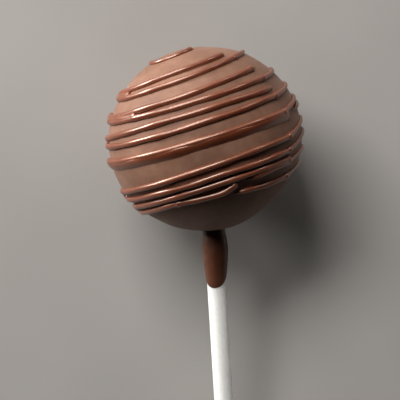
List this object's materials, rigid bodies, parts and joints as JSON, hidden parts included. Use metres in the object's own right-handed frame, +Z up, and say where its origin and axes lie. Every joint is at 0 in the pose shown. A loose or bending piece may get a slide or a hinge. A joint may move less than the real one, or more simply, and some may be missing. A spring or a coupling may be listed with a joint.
{
  "type": "cake pop",
  "caption": "Round cake pop in a satin milk-chocolate coating with a raised zigzag chocolate drizzle, on a white paper stick, lying on its back.",
  "frame": {"origin": "middle of the small flat spot under the ball, on which the pop lies", "axes": "+Z up, out of the surface it lies on and towards the side that shows; +Y along the stick from its free end towards the ball; +X to the right of the shown side when the ball is at the top"},
  "size_m": [0.0417, 0.1701, 0.0407],
  "materials": {
    "chocolate": "satin",
    "paper": "matte"
  },
  "bodies": {
    "root": {"coated_ball": "chocolate", "stick": "paper"}
  },
  "joints": []
}
